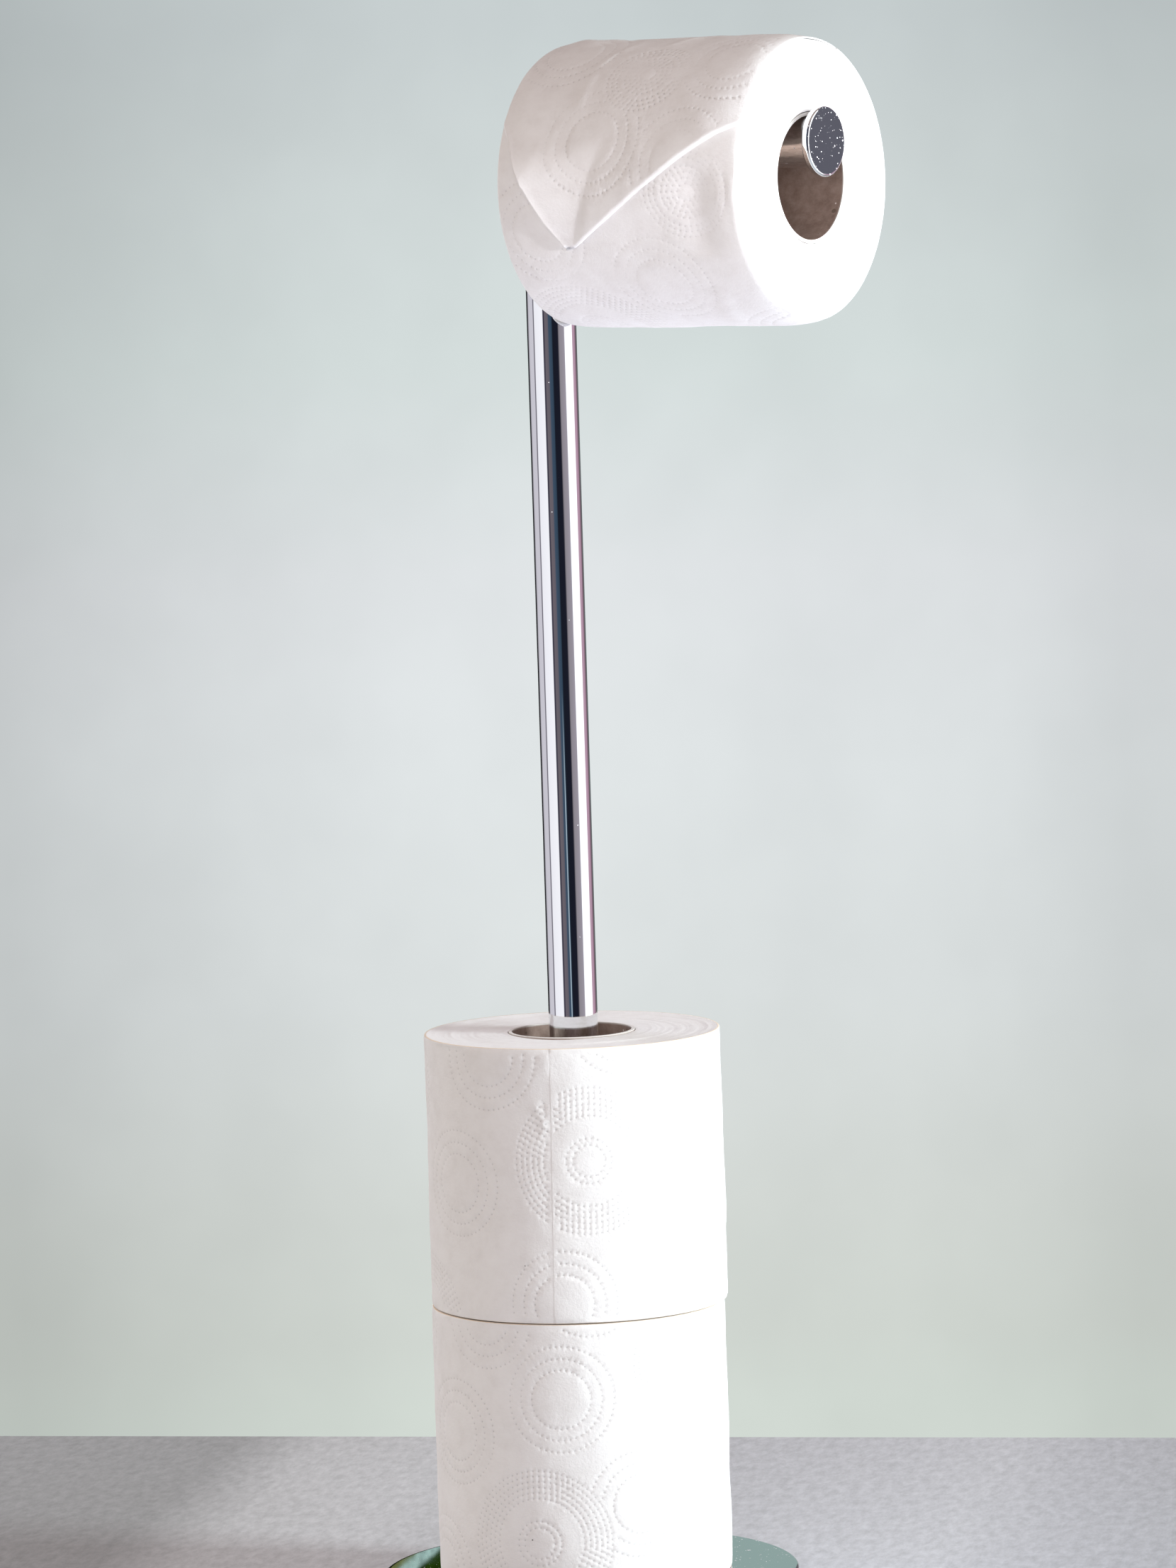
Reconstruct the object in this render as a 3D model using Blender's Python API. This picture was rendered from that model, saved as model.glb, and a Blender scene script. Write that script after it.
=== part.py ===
"""Free-standing toilet roll holder with the rolls it carries.

A weighted round base carries an upright chrome tube. A second tube, bent through a right
angle, screws onto its top and makes the arm, which ends in a flat disc. One roll hangs on
the arm by its core, and two spare rolls are stacked round the upright.

Metres, +Z up. The origin is on the floor, on the upright's axis. The arm points along +X.
"""

import math

import bmesh
import bpy
from mathutils import Vector

# Fits
seat_gap = 0.0003
weld_distance = 0.000003

# Chrome tube, the same for the upright and the arm
tube_outer_radius = 0.009
tube_wall = 0.001
tube_sides = 36

# Upright and arm
arm_axis_height = 0.531
bend_radius = 0.0365
bend_steps = 14
arm_leg_length = 0.0095
insert_chamfer = 0.0005

# Base
base_radius = 0.0775
base_height = 0.0085
base_edge_radius = 0.0022
base_sheet = 0.0009
hem_clearance = 0.0008
pad_thickness = 0.0015
pad_inset = 0.001
weight_edge_radius = 0.0012
base_sides = 72

# Bolt that holds the upright to the base
bolt_radius = 0.004
bolt_chamfer = 0.0006
bolt_head_across_flats = 0.013
bolt_head_height = 0.003
bolt_tip_setback = 0.002
washer_thickness = 0.0008
washer_inset = 0.0004
post_insert_length = 0.020
bolt_sides = 24

# Stud that holds the arm to the upright
stud_radius = 0.005
stud_chamfer = 0.0007
stud_length = 0.0135
top_insert_length = 0.016

# End disc
end_disc_radius = 0.0125
end_disc_thickness = 0.003
end_disc_edge_radius = 0.0009
end_disc_boss_length = 0.012
disc_sides = 48

# Rolls
sheet_width = 0.100
core_inner_radius = 0.022
core_wall = 0.0012
core_sides = 48
paper_sides = 72
paper_edge_radius = 0.0012
roll_end_play = 0.004
stack_gap = 0.0004

# Loose end of a spare roll: a ply's height, and the run of the step down from it
ply_height = 0.0004
ply_run = 0.0005

# Each spare roll from the floor up: name, radius, place beside the upright's axis, and the
# direction of its loose end
spare_rolls = (
    ("lower_spare", 0.0539, (-0.0011, -0.0008), math.radians(118)),
    ("upper_spare", 0.0544, (-0.0006, -0.0004), math.radians(-67)),
)

# Roll in use. Its last sheet is folded to a point. Angles go round the arm's direction from
# straight down, so 90 degrees is +Y and 180 degrees is up.
arm_roll_radius = 0.051
last_sheet_length = 0.125
last_sheet_thickness = 0.0005
last_sheet_inset = 0.0006
last_sheet_rows = 28
fold_height = 0.0445
tip_width = 0.004
tip_place_share = 0.265
tip_angle = math.radians(296)

# Places that follow from the sizes above
tube_inner_radius = tube_outer_radius - tube_wall
plug_radius = tube_inner_radius - seat_gap
weight_bottom = pad_thickness + seat_gap
weight_top = base_height - base_sheet - seat_gap
cover_inner_radius = base_radius - base_sheet
post_bottom = base_height + 2 * seat_gap + washer_thickness
arm_start_height = arm_axis_height - bend_radius - arm_leg_length
post_top = arm_start_height - seat_gap
core_outer_radius = core_inner_radius + core_wall
paper_bore_radius = core_outer_radius + seat_gap
arm_roll_axis_height = arm_axis_height - (core_inner_radius - tube_outer_radius - seat_gap)


def roll_start_on_arm():
    """Where a roll pushed in along the arm meets the upright or the inside of the bend."""
    at_upright = tube_outer_radius + roll_end_play
    inner_bend = bend_radius - tube_outer_radius
    bend_centre_height = arm_axis_height - bend_radius
    core_bottom = arm_roll_axis_height - core_inner_radius
    rise = core_bottom - bend_centre_height
    if rise <= 0 or rise >= inner_bend:
        return at_upright
    at_bend = bend_radius - math.sqrt(inner_bend**2 - rise**2) + seat_gap
    return max(at_upright, at_bend)


arm_roll_start = roll_start_on_arm()
disc_inner_face = arm_roll_start + sheet_width + roll_end_play
arm_end = disc_inner_face - seat_gap


def clear_scene():
    for item in list(bpy.data.objects):
        bpy.data.objects.remove(item, do_unlink=True)


FINISHES = {
    "chrome": ((0.80, 0.82, 0.84), 1.0, 0.06),
    "zinc": ((0.62, 0.63, 0.62), 1.0, 0.35),
    "iron": ((0.10, 0.10, 0.11), 0.6, 0.65),
    "foam": ((0.03, 0.03, 0.03), 0.0, 0.9),
    "rubber": ((0.04, 0.04, 0.04), 0.0, 0.7),
    "tissue": ((0.93, 0.92, 0.91), 0.0, 0.9),
    "card": ((0.38, 0.31, 0.27), 0.0, 0.9),
}


def finish(piece, kind):
    colour, metallic, roughness = FINISHES[kind]
    material = bpy.data.materials.new(piece.name + "_" + kind)
    material.use_nodes = True
    shader = material.node_tree.nodes["Principled BSDF"]
    shader.inputs["Base Color"].default_value = (*colour, 1.0)
    shader.inputs["Metallic"].default_value = metallic
    shader.inputs["Roughness"].default_value = roughness
    material.diffuse_color = (*colour, 1.0)
    piece.data.materials.append(material)


def piece_from(shape, name, kind, place=(0, 0, 0), along_arm=False, parent=None):
    """A bmesh as a named, finished and smooth-shaded object in its place."""
    bmesh.ops.recalc_face_normals(shape, faces=shape.faces)
    mesh = bpy.data.meshes.new(name)
    shape.to_mesh(mesh)
    shape.free()
    mesh.shade_smooth()
    mesh.set_sharp_from_angle(angle=math.radians(35))
    piece = bpy.data.objects.new(name, mesh)
    bpy.context.collection.objects.link(piece)
    finish(piece, kind)
    set_place(piece, place, along_arm, parent)
    return piece


def set_place(item, place, along_arm=False, parent=None):
    item.location = place
    if along_arm:
        item.rotation_euler = (0, math.pi / 2, 0)
    item.parent = parent


def arc(centre, radius, start, end, steps):
    """Points of a round edge as (radius, height) pairs, with its angles in degrees."""
    angles = [math.radians(start + (end - start) * k / steps) for k in range(steps + 1)]
    return [
        (centre[0] + radius * math.cos(angle), centre[1] + radius * math.sin(angle))
        for angle in angles
    ]


def turned(profile, sides):
    """A closed (radius, height) profile spun once round the height axis.

    Where the profile starts and ends on the axis, the run along the axis is left out.
    """
    shape = bmesh.new()
    points = [shape.verts.new((radius, 0, height)) for radius, height in profile]
    pairs = list(zip(points, points[1:]))
    if profile[0][0] > 0:
        pairs.append((points[-1], points[0]))
    edges = [shape.edges.new(pair) for pair in pairs]
    bmesh.ops.spin(
        shape,
        geom=points + edges,
        axis=(0, 0, 1),
        cent=(0, 0, 0),
        angle=math.tau,
        steps=sides,
        use_merge=True,
    )
    bmesh.ops.remove_doubles(shape, verts=shape.verts, dist=weld_distance)
    return shape


def sleeve_profile(bore, radius, bottom, top, chamfer):
    """A round sleeve with its outer edges broken."""
    return [
        (bore, bottom),
        (radius - chamfer, bottom),
        (radius, bottom + chamfer),
        (radius, top - chamfer),
        (radius - chamfer, top),
        (bore, top),
    ]


def skin(rings, closed=True):
    """Faces between each ring of points and the next, and from the last to the first."""
    shape = bmesh.new()
    loops = [[shape.verts.new(point) for point in ring] for ring in rings]
    pairs = list(zip(loops, loops[1:]))
    if closed:
        pairs.append((loops[-1], loops[0]))
    for one, other in pairs:
        count = len(one)
        for k in range(count):
            after = (k + 1) % count
            shape.faces.new((one[k], one[after], other[after], other[k]))
    return shape


def hexagon_prism(across_flats, bottom, top):
    shape = bmesh.new()
    corner_radius = across_flats / 2 / math.cos(math.pi / 6)
    result = bmesh.ops.create_circle(shape, cap_ends=True, segments=6, radius=corner_radius)
    bmesh.ops.translate(shape, verts=result["verts"], vec=(0, 0, bottom))
    raised = bmesh.ops.extrude_face_region(shape, geom=shape.faces[:])
    corners = [item for item in raised["geom"] if isinstance(item, bmesh.types.BMVert)]
    bmesh.ops.translate(shape, verts=corners, vec=(0, 0, top - bottom))
    return shape


def combine(piece, operand, operation):
    """A Boolean with a hidden operand, which is a guide and not a piece of the object."""
    operand.hide_render = True
    operand.display_type = "WIRE"
    modifier = piece.modifiers.new(operation.title(), "BOOLEAN")
    modifier.operation = operation
    modifier.solver = "EXACT"
    modifier.object = operand


# Base

def base_pad():
    radius = cover_inner_radius - pad_inset
    profile = [(0, 0), (radius, 0), (radius, pad_thickness), (0, pad_thickness)]
    piece_from(turned(profile, base_sides), "base_pad", "foam")


def base_weight():
    radius = cover_inner_radius - seat_gap
    edge = min(weight_edge_radius, (weight_top - weight_bottom) / 2)
    # The weight's top edge clears the round inside of the cover's rim
    top_edge = max(edge, base_edge_radius)
    bore = bolt_radius + seat_gap
    profile = (
        [(bore, weight_bottom)]
        + arc((radius - edge, weight_bottom + edge), edge, -90, 0, 3)
        + arc((radius - top_edge, weight_top - top_edge), top_edge, 0, 90, 4)
        + [(bore, weight_top)]
    )
    weight = piece_from(turned(profile, base_sides), "base_weight", "iron")
    pocket = hexagon_prism(
        bolt_head_across_flats + 2 * seat_gap,
        weight_bottom - bolt_head_height,
        weight_bottom + bolt_head_height + seat_gap,
    )
    combine(weight, piece_from(pocket, "bolt_pocket_cutter", "iron"), "DIFFERENCE")


def base_cover():
    bore = bolt_radius + seat_gap
    outer_edge = min(base_edge_radius, base_height - hem_clearance - base_sheet)
    inner_edge = max(outer_edge - base_sheet, seat_gap)
    inner_top = base_height - base_sheet
    profile = (
        [(bore, inner_top), (bore, base_height)]
        + arc((base_radius - outer_edge, base_height - outer_edge), outer_edge, 90, 0, 7)
        + [(base_radius, hem_clearance), (cover_inner_radius, hem_clearance)]
        + arc((cover_inner_radius - inner_edge, inner_top - inner_edge), inner_edge, 0, 90, 4)
    )
    piece_from(turned(profile, base_sides), "base_cover", "chrome")


def base_bolt():
    head_bottom = weight_bottom
    head_top = head_bottom + bolt_head_height
    tip = post_bottom + post_insert_length - bolt_tip_setback
    head = hexagon_prism(bolt_head_across_flats, head_bottom, head_top)
    bolt = piece_from(head, "base_bolt", "zinc")
    shank_start = head_bottom + bolt_head_height / 2
    profile = [
        (0, shank_start),
        (bolt_radius, shank_start),
        (bolt_radius, tip - bolt_chamfer),
        (bolt_radius - bolt_chamfer, tip),
        (0, tip),
    ]
    combine(bolt, piece_from(turned(profile, bolt_sides), "bolt_shank", "zinc"), "UNION")


def base_washer():
    bottom = base_height + seat_gap
    profile = [
        (bolt_radius + seat_gap, bottom),
        (tube_outer_radius - washer_inset, bottom),
        (tube_outer_radius - washer_inset, bottom + washer_thickness),
        (bolt_radius + seat_gap, bottom + washer_thickness),
    ]
    piece_from(turned(profile, tube_sides), "base_washer", "rubber")


# Upright and arm

def post_insert():
    profile = sleeve_profile(
        bolt_radius + seat_gap,
        plug_radius,
        post_bottom,
        post_bottom + post_insert_length,
        insert_chamfer,
    )
    piece_from(turned(profile, tube_sides), "post_insert", "zinc")


def post_tube():
    profile = [
        (tube_inner_radius, post_bottom),
        (tube_outer_radius, post_bottom),
        (tube_outer_radius, post_top),
        (tube_inner_radius, post_top),
    ]
    piece_from(turned(profile, tube_sides), "post_tube", "chrome")


def post_top_insert():
    profile = sleeve_profile(
        stud_radius + seat_gap,
        plug_radius,
        post_top - top_insert_length,
        post_top,
        insert_chamfer,
    )
    piece_from(turned(profile, tube_sides), "post_top_insert", "zinc")


def arm_stud():
    """A plug in the arm's short leg, with the stud that screws down into the upright."""
    tip = post_top - stud_length
    profile = [
        (0, tip),
        (stud_radius - stud_chamfer, tip),
        (stud_radius, tip + stud_chamfer),
        (stud_radius, arm_start_height),
        (plug_radius, arm_start_height),
        (plug_radius, arm_start_height + arm_leg_length - insert_chamfer),
        (plug_radius - insert_chamfer, arm_start_height + arm_leg_length),
        (0, arm_start_height + arm_leg_length),
    ]
    piece_from(turned(profile, tube_sides), "arm_stud", "zinc")


def arm_tube():
    """The tube's two walls, swept up the leg, round the bend and out along the arm."""
    centre = Vector((bend_radius, 0, arm_axis_height - bend_radius))
    path = [(Vector((0, 0, arm_start_height)), 0)]
    for k in range(bend_steps + 1):
        turn = math.pi / 2 * k / bend_steps
        offset = Vector((-math.cos(turn), 0, math.sin(turn))) * bend_radius
        path.append((centre + offset, turn))
    path.append((Vector((arm_end, 0, arm_axis_height)), math.pi / 2))

    def ring(station, radius):
        place, turn = station
        across = Vector((math.cos(turn), 0, -math.sin(turn)))
        sideways = Vector((0, 1, 0))
        angles = [math.tau * k / tube_sides for k in range(tube_sides)]
        return [
            place + radius * (math.cos(angle) * across + math.sin(angle) * sideways)
            for angle in angles
        ]

    outside = [ring(station, tube_outer_radius) for station in path]
    inside = [ring(station, tube_inner_radius) for station in reversed(path)]
    piece_from(skin(outside + inside), "arm_tube", "chrome")


def arm_end_disc():
    edge = min(end_disc_edge_radius, end_disc_thickness / 2)
    rim = end_disc_radius - edge
    profile = (
        [(0, -end_disc_boss_length), (plug_radius - insert_chamfer, -end_disc_boss_length)]
        + [(plug_radius, insert_chamfer - end_disc_boss_length), (plug_radius, 0)]
        + arc((rim, edge), edge, -90, 0, 4)
        + arc((rim, end_disc_thickness - edge), edge, 0, 90, 4)
        + [(0, end_disc_thickness)]
    )
    place = (disc_inner_face, 0, arm_axis_height)
    piece_from(turned(profile, disc_sides), "arm_end_disc", "chrome", place, along_arm=True)


# Rolls

def core(name, parent):
    profile = [
        (core_inner_radius, 0),
        (core_outer_radius, 0),
        (core_outer_radius, sheet_width),
        (core_inner_radius, sheet_width),
    ]
    piece_from(turned(profile, core_sides), name, "card", parent=parent)


def winding_radius(radius, step, turned_share):
    """The outer ply winds in by its own height over one turn from the loose end."""
    return radius - step * turned_share


def paper(name, radius, step, end_angle, direction, parent):
    """The winding: one turn of a spiral outline, soft at its edges, with a plain bore.

    direction is 1 where the outer ply runs on from its loose end with rising angle, or -1.
    """
    run_angle = ply_run / radius
    angles = [
        end_angle + direction * (math.tau - run_angle) * k / paper_sides
        for k in range(paper_sides + 1)
    ]
    radii = [winding_radius(radius, step, k / paper_sides) for k in range(paper_sides + 1)]

    def outline(inset, height):
        return [
            ((size - inset) * math.cos(angle), (size - inset) * math.sin(angle), height)
            for angle, size in zip(angles, radii)
        ]

    def bore(height):
        return [
            (paper_bore_radius * math.cos(angle), paper_bore_radius * math.sin(angle), height)
            for angle in angles
        ]

    soft = min(paper_edge_radius, sheet_width / 4)
    half = soft * (1 - math.cos(math.pi / 4))
    rings = [
        outline(soft, 0),
        outline(half, half),
        outline(0, soft),
        outline(0, sheet_width - soft),
        outline(half, sheet_width - half),
        outline(soft, sheet_width),
        bore(sheet_width),
        bore(0),
    ]
    piece_from(skin(rings), name, "tissue", parent=parent)


def last_sheet(parent):
    """The loose sheet on the roll in use, from its perforation over the top to the tip.

    Its two corners are folded behind it, so it ends in a blunt point on the front.
    """
    step = last_sheet_thickness + seat_gap
    perforation = tip_angle - last_sheet_length / arm_roll_radius
    start = perforation + (ply_run + seat_gap) / arm_roll_radius
    shoulder = tip_angle - fold_height / arm_roll_radius
    low = last_sheet_inset
    high = sheet_width - last_sheet_inset
    tip_low = sheet_width * tip_place_share - tip_width / 2
    tip_high = tip_low + tip_width
    rows = sorted(
        [start + (tip_angle - start) * k / last_sheet_rows for k in range(last_sheet_rows + 1)]
        + [shoulder]
    )

    def corners(angle):
        """The sheet's section across the roll at one angle: its four corner points."""
        share = max(0.0, (angle - shoulder) / (tip_angle - shoulder))
        left = low + (tip_low - low) * share
        right = high + (tip_high - high) * share
        under = winding_radius(arm_roll_radius, step, 1 - (angle - perforation) / math.tau)
        inner = under + seat_gap
        outer = inner + last_sheet_thickness
        ends = ((inner, left), (inner, right), (outer, right), (outer, left))
        return [
            (size * math.cos(angle), size * math.sin(angle), place) for size, place in ends
        ]

    shape = skin([corners(angle) for angle in rows], closed=False)
    bmesh.ops.holes_fill(shape, edges=shape.edges, sides=4)
    piece_from(shape, "arm_roll_last_sheet", "tissue", parent=parent)


def roll_axis(name, place, along_arm=False):
    axis = bpy.data.objects.new(name, None)
    bpy.context.collection.objects.link(axis)
    set_place(axis, place, along_arm)
    return axis


def arm_roll():
    axis = roll_axis(
        "arm_roll_axis", (arm_roll_start, 0, arm_roll_axis_height), along_arm=True
    )
    core("arm_roll_core", axis)
    # The winding's outer ply ends where the last sheet begins, and lies level with it there
    step = last_sheet_thickness + seat_gap
    perforation = tip_angle - last_sheet_length / arm_roll_radius
    paper("arm_roll_paper", arm_roll_radius, step, perforation, -1, axis)
    last_sheet(axis)


def stacked_rolls():
    bottom = base_height + seat_gap
    for name, radius, (x, y), end_angle in spare_rolls:
        axis = roll_axis(name + "_axis", (x, y, bottom))
        core(name + "_core", axis)
        paper(name + "_paper", radius, ply_height, end_angle, 1, axis)
        bottom += sheet_width + stack_gap


def build():
    clear_scene()
    base_pad()
    base_weight()
    base_cover()
    base_bolt()
    base_washer()
    post_insert()
    post_tube()
    post_top_insert()
    arm_stud()
    arm_tube()
    arm_end_disc()
    arm_roll()
    stacked_rolls()


build()
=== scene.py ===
"""Looks of the toilet roll holder and its rolls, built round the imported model.

Metres, +Z up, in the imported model's frame. The arm points along +X. Rolls are modelled about
their own axis, which is local +Z, with local +X straight down on the roll in use.
"""
from math import cos, degrees, dist, exp, hypot, pi, radians, sin, sqrt, tau

import bmesh
import bpy
import numpy as np
from mathutils import Matrix, Vector, noise
from mathutils.geometry import delaunay_2d_cdt


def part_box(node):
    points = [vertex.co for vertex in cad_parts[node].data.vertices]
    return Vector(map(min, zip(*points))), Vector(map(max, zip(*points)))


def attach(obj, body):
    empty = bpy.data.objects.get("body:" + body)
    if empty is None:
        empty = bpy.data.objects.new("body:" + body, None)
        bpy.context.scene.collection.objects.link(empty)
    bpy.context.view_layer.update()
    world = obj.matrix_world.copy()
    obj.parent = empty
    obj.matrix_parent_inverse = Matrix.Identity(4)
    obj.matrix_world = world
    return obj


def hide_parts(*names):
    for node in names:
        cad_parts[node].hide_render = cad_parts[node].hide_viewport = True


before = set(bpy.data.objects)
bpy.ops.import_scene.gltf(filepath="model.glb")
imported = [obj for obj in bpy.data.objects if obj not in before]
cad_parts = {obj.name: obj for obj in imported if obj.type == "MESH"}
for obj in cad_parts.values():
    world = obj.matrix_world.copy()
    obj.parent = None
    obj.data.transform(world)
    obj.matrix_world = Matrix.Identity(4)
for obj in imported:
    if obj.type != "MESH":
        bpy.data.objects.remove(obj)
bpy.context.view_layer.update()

# Camera: where it stood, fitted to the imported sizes
camera_azimuth = radians(34.3)
camera_distance = 2.602
camera_height = 0.5421
camera_yaw = 0.0031
camera_pitch = 0.093
camera_roll = -0.031
camera_lens = 164.07
camera_sensor = 36.0

# Stage: a table with an apron behind it, a round wall, and a drum that the chrome mirrors
floor_behind = 0.305
floor_before = 4.0
floor_half_width = 3.5
floor_turn = radians(-10.2)
apron_length = 3.6
apron_drop = 0.95
wall_radius, wall_bottom, wall_top = 4.8, -2.5, 3.5
surround_radius, surround_bottom, surround_top = 1.2, -0.002, 1.6
drum_sides = 96

# Stage pieces are made with +X to the camera and +Y to its right, then turned like this
stage_turn = Matrix.Rotation(camera_azimuth - pi / 2, 4, "Z")

# Tones of the table's grain, and the painted shade across the picture, darker towards both sides,
# as far as the reach: metres to the right, grey, how cold. Noises are scale, detail and roughness.
floor_roughness = 0.75
grain_stretch = (0.45, 1, 1)
floor_grain = (230, 5, 0.75)
grain_tones = ((0.34, (0.51, 0.521, 0.535)), (0.66, (0.68, 0.692, 0.714)))
floor_reach = 0.22
floor_painted_shades = (
    (-0.2, 0.61, 0.97),
    (-0.163, 0.93, 0.98),
    (-0.11, 1.0, 0.99),
    (-0.057, 0.93, 1.0),
    (0.0, 0.92, 1.02),
    (0.121, 0.96, 1.02),
    (0.16, 0.84, 1.03),
    (0.204, 0.75, 1.03),
)

# Tones of the wall from its foot to the top of the picture, with painted light brightest in the
# middle, its painted shade across, darker towards its sides, and clouds
wall_foot, wall_head = -0.85, 0.7
wall_tones = (
    (0.03, (213, 221, 214)),
    (0.077, (211, 217, 211)),
    (0.17, (214, 219, 215)),
    (0.31, (221, 226, 226)),
    (0.456, (226, 231, 232)),
    (0.598, (225, 229, 231)),
    (0.74, (214, 223, 222)),
    (0.88, (207, 215, 215)),
    (0.963, (201, 209, 210)),
)
wall_reach = 0.6
wall_painted_shades = (
    (-0.58, 0.736),
    (-0.463, 0.822),
    (-0.316, 0.904),
    (-0.169, 0.978),
    (0.0, 1.0),
    (0.235, 0.957),
    (0.345, 0.957),
    (0.455, 0.925),
    (0.58, 0.842),
)
wall_clouds = (7, 3)
wall_mottle = (0.975, 1.02)

# What the post mirrors: degrees round it from the camera towards its right, and tones
mirrored_bands = (
    (-180, (0.02, 0.018, 0.022)),
    (-146, (0.014, 0.013, 0.016)),
    (-131, (0.66, 0.63, 0.69)),
    (-98, (0.68, 0.65, 0.71)),
    (-95.5, (0.17, 0.155, 0.19)),
    (-91, (0.17, 0.155, 0.19)),
    (-88, (0.99, 0.97, 1.02)),
    (-43.5, (1.06, 1.04, 1.08)),
    (-41, (0.05, 0.045, 0.07)),
    (-36, (0.05, 0.045, 0.07)),
    (-33, (0.17, 0.145, 0.165)),
    (-19, (0.15, 0.13, 0.155)),
    (-15, (0.055, 0.09, 0.14)),
    (-2, (0.04, 0.07, 0.11)),
    (2, (0.011, 0.013, 0.022)),
    (27, (0.012, 0.013, 0.024)),
    (33, (0.31, 0.28, 0.31)),
    (58, (0.38, 0.34, 0.39)),
    (63, (1.6, 1.6, 1.62)),
    (104, (1.6, 1.6, 1.62)),
    (109, (0.56, 0.37, 0.46)),
    (127, (0.5, 0.31, 0.41)),
    (137, (0.18, 0.105, 0.135)),
    (143, (0.15, 0.14, 0.15)),
    (165, (0.14, 0.135, 0.145)),
    (180, (0.05, 0.045, 0.05)),
)

# Patches over the bands, what the end disc and the post's foot see: from and to degrees and how
# soft, heights where they start and are full, and tone
drum_patches = (
    (99, 126, 2, (0.45, 0.47), (0.128, 0.126, 0.155)),
    (-6, -3, 1.5, (0.24, 0.18), (0.42, 0.52, 0.6)),
)

# Pale foot of the drum on its right: heights, metres to the right, and tone
foot_heights = (0.06, 0.03)
foot_places = (0.0, 0.3)
foot_tone = (0.42, 0.46, 0.46)

# What the base mirrors behind it: a leaf beside pale green, across and up the surround
leaf_bands = (
    (-0.5, (0.01, 0.013, 0.008)),
    (-0.1035, (0.012, 0.016, 0.008)),
    (-0.102, (0.21, 0.22, 0.07)),
    (-0.0985, (0.16, 0.18, 0.045)),
    (-0.0965, (0.05, 0.07, 0.015)),
    (-0.0955, (0.35, 0.505, 0.47)),
    (-0.0875, (0.35, 0.505, 0.47)),
    (-0.084, (0.016, 0.04, 0.003)),
    (-0.045, (0.016, 0.04, 0.003)),
    (-0.035, (0.3, 0.405, 0.383)),
)
leaf_climb = 1.3
leaf_height = 0.245
leaf_end = (-0.03, -0.02)
leaf_depths = (-1.15, -1.16)
leaf_heights = (0.55, 0.27)
leaf_blotches = (260, 3)
leaf_mottle = (0.75, 1.25)

# Area lights: name, turn from the camera in degrees with distance and height, size, power,
# colour, and what they shine at, or None for straight up
area_lights = (
    ("window", (69, 1.3, 0.5), (0.3, 0.7), 21.4, (0.862, 0.972, 1), (0.03, 0, 0.35)),
    ("front", (0, 1.0, 0.5), (0.4, 0.3), 2.3, (1, 0.97, 1), (0.05, 0, 0.5)),
    ("side_fill", (-100, 1.6, 0.35), (0.9, 0.9), 5.2, (1, 0.97, 0.8), (0, 0, 0.28)),
    ("back", (-135, 1.2, 0.75), (0.5, 0.5), 5.6, (0.8, 0.84, 1), (0, 0, 0.28)),
    ("rim", (48, 0.45, 0.62), (0.12, 0.12), 0.55, (0.892, 0.94, 1), (0.13, 0, 0.53)),
    ("under_light_right", (50, 0.13, 0.225), (0.35, 0.2), 0.14, (0.95, 0.93, 1), None),
    ("under_light_left", (-50, 0.13, 0.225), (0.35, 0.2), 0.16, (0.78, 0.76, 1), None),
    ("under_light_back", (170, 0.13, 0.225), (0.35, 0.2), 0.62, (0.9, 0.88, 1), None),
)

# Narrow beams: name, place, what they shine at, power, colour, cone in degrees and softness
fold_target, core_target = (0.042, -0.049, 0.5095), (0.095, -0.018, 0.527)
beams = (
    ("fold_light", (0.9267578, -0.2088539, 0.47), fold_target, 47, (0.96, 0.97, 1), 3.5, 0.03),
    ("core_light", (0.33, 0.15, 0.44), core_target, 10, (1, 0.97, 0.95), 12, 0.02),
)
air_colour = (0.395, 0.325, 0.296)

# Chrome. Specks are spacing, largest radius and the share of cells that have one. Bumps are
# strength and distance.
chrome_colour = (0.84, 0.86, 0.88)
chrome_gloss = (0.01, 0.034)
wiping_marks = (60, 6)
dusty_patches = (90, 3)
dust_colour = (0.93, 0.92, 0.93)
dust_roughness = 0.9
tube_dust = ((0.004, 0.0004, 0.5),)
disc_dust = ((0.0009, 0.00036, 0.95), (0.0023, 0.00055, 0.9))
base_dust = ((0.0011, 0.00034, 0.8), (0.0022, 0.00075, 0.8), (0.006, 0.0011, 0.8))

# Tissue
tissue_tones = (
    (0.3, (0.885, 0.868, 0.86)),
    (0.5, (0.925, 0.912, 0.907)),
    (0.72, (0.945, 0.937, 0.933)),
)
tissue_shades = (140, 7, 0.65)
tissue_flecks = (0.013, 0.0005, 0.22)
fleck_colour = (0.3, 0.28, 0.27)
# Painted warm shade on the outer rims of both ends of the spare rolls, which shows as a tan seam
# where they meet
rim_painted_shade_colour = (0.88, 0.74, 0.58)
# Painted shade in the embossed dots: the share of light that the deepest dot keeps
dot_painted_shade = 0.7
tissue_crepe = (900, 5, 0.7)
crepe_bump = (0.55, 0.00035)

# Core card: tones, specks with their colours, a seam that climbs round it, and its cut ends
card_tones = (
    (0.3, (0.235, 0.168, 0.138)),
    (0.55, (0.325, 0.242, 0.203)),
    (0.75, (0.4, 0.31, 0.262)),
)
card_shades = (260, 7, 0.7)
card_specks = (
    ((0.0031, 0.0011, 0.8), (0.2, 0.15, 0.12)),
    ((0.0055, 0.001, 0.8), (0.75, 0.7, 0.66)),
)
seam_pitch = 0.11
seam_edge = 0.9992
seam_share = 0.15
seam_colour = (0.22, 0.17, 0.14)
cut_depth = 0.0007
cut_colour = (0.8, 0.77, 0.74)
card_grain = (1400, 4, 0.7)
card_bump = (0.5, 0.0003)

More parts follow.
